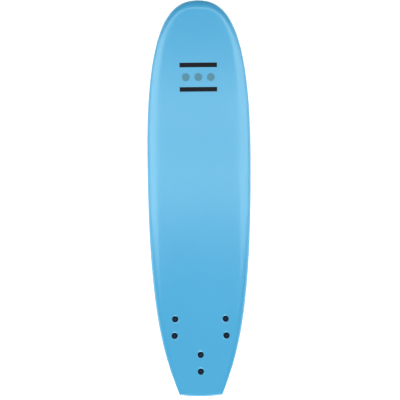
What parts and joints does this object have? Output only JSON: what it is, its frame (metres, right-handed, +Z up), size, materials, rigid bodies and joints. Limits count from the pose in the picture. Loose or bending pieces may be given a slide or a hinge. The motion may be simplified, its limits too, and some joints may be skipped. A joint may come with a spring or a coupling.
{
  "type": "longboard surfboard",
  "caption": "Soft-top longboard surfboard with a rounded nose, a squared tail, a foam deck, a slick bottom and rubber fins bolted through the deck.",
  "frame": {"origin": "middle of the board's box at the floor it stands on, resting on its belly and the tips of its side fins", "axes": "+Y along the board towards the nose, +X across to the right, +Z up; the deck is tilted nose down by about four and a half degrees"},
  "size_m": [0.64, 2.4235, 0.2225],
  "materials": {
    "deck_foam": "matte closed-cell foam, light blue, finely embossed",
    "slick": "white high-density polyethylene sheet, soft gloss",
    "core_foam": "white expanded polystyrene beads",
    "stringer_wood": "plain plywood",
    "fin_rubber": "black flexible fin, matte",
    "washer_plastic": "black moulded nylon, fine grain",
    "sleeve_plastic": "black moulded tube",
    "insert_brass": "turned brass",
    "screw_steel": "stainless steel, darkened and dull"
  },
  "bodies": {
    "board": {"bottom_skin": "slick", "deck_skin": "deck_foam", "core_left": "core_foam", "stringer_left": "stringer_wood", "core_centre": "core_foam", "stringer_right": "stringer_wood", "core_right": "core_foam", "sleeve_left_front": "sleeve_plastic", "washer_left_front": "washer_plastic", "sleeve_left_rear": "sleeve_plastic", "washer_left_rear": "washer_plastic", "sleeve_centre_front": "sleeve_plastic", "washer_centre_front": "washer_plastic", "sleeve_centre_rear": "sleeve_plastic", "washer_centre_rear": "washer_plastic", "sleeve_right_front": "sleeve_plastic", "washer_right_front": "washer_plastic", "sleeve_right_rear": "sleeve_plastic", "washer_right_rear": "washer_plastic"},
    "screw_left_front": {"screw_left_front": "screw_steel"},
    "screw_left_rear": {"screw_left_rear": "screw_steel"},
    "fin_left": {"fin_left": "fin_rubber", "insert_left_front": "insert_brass", "insert_left_rear": "insert_brass"},
    "screw_centre_front": {"screw_centre_front": "screw_steel"},
    "screw_centre_rear": {"screw_centre_rear": "screw_steel"},
    "fin_centre": {"fin_centre": "fin_rubber", "insert_centre_front": "insert_brass", "insert_centre_rear": "insert_brass"},
    "screw_right_front": {"screw_right_front": "screw_steel"},
    "screw_right_rear": {"screw_right_rear": "screw_steel"},
    "fin_right": {"fin_right": "fin_rubber", "insert_right_front": "insert_brass", "insert_right_rear": "insert_brass"}
  },
  "joints": [
    {"name": "left_fin_drop", "type": "slide", "parent": "board", "child": "fin_left", "axis": [0, -0.1419, -0.9899], "range_m": [0, 0.014]},
    {"name": "left_front_screw_turn", "type": "hinge", "parent": "board", "child": "screw_left_front", "pos_m": [-0.1552, -0.74725, 0.09828], "axis": [0, 0.1419, 0.9899], "range_deg": [0, 5040]},
    {"name": "left_rear_screw_turn", "type": "hinge", "parent": "board", "child": "screw_left_rear", "pos_m": [-0.1594, -0.84863, 0.11281], "axis": [0, 0.1419, 0.9899], "range_deg": [0, 5040]},
    {"name": "centre_fin_drop", "type": "slide", "parent": "board", "child": "fin_centre", "axis": [0, -0.1741, -0.9847], "range_m": [0, 0.014]},
    {"name": "centre_front_screw_turn", "type": "hinge", "parent": "board", "child": "screw_centre_front", "pos_m": [0, -0.96642, 0.13165], "axis": [0, 0.1741, 0.9847], "range_deg": [0, 5040]},
    {"name": "centre_rear_screw_turn", "type": "hinge", "parent": "board", "child": "screw_centre_rear", "pos_m": [0, -1.06736, 0.14949], "axis": [0, 0.1741, 0.9847], "range_deg": [0, 5040]},
    {"name": "right_fin_drop", "type": "slide", "parent": "board", "child": "fin_right", "axis": [0, -0.1419, -0.9899], "range_m": [0, 0.014]},
    {"name": "right_front_screw_turn", "type": "hinge", "parent": "board", "child": "screw_right_front", "pos_m": [0.1552, -0.74725, 0.09828], "axis": [0, 0.1419, 0.9899], "range_deg": [0, 5040]},
    {"name": "right_rear_screw_turn", "type": "hinge", "parent": "board", "child": "screw_right_rear", "pos_m": [0.1594, -0.84863, 0.11281], "axis": [0, 0.1419, 0.9899], "range_deg": [0, 5040]}
  ],
  "couplings": [
    {"joint": "left_front_screw_turn", "follows": "left_fin_drop", "rad_per_m": 6283.2},
    {"joint": "left_rear_screw_turn", "follows": "left_fin_drop", "rad_per_m": 6283.2},
    {"joint": "centre_front_screw_turn", "follows": "centre_fin_drop", "rad_per_m": 6283.2},
    {"joint": "centre_rear_screw_turn", "follows": "centre_fin_drop", "rad_per_m": 6283.2},
    {"joint": "right_front_screw_turn", "follows": "right_fin_drop", "rad_per_m": 6283.2},
    {"joint": "right_rear_screw_turn", "follows": "right_fin_drop", "rad_per_m": 6283.2}
  ]
}
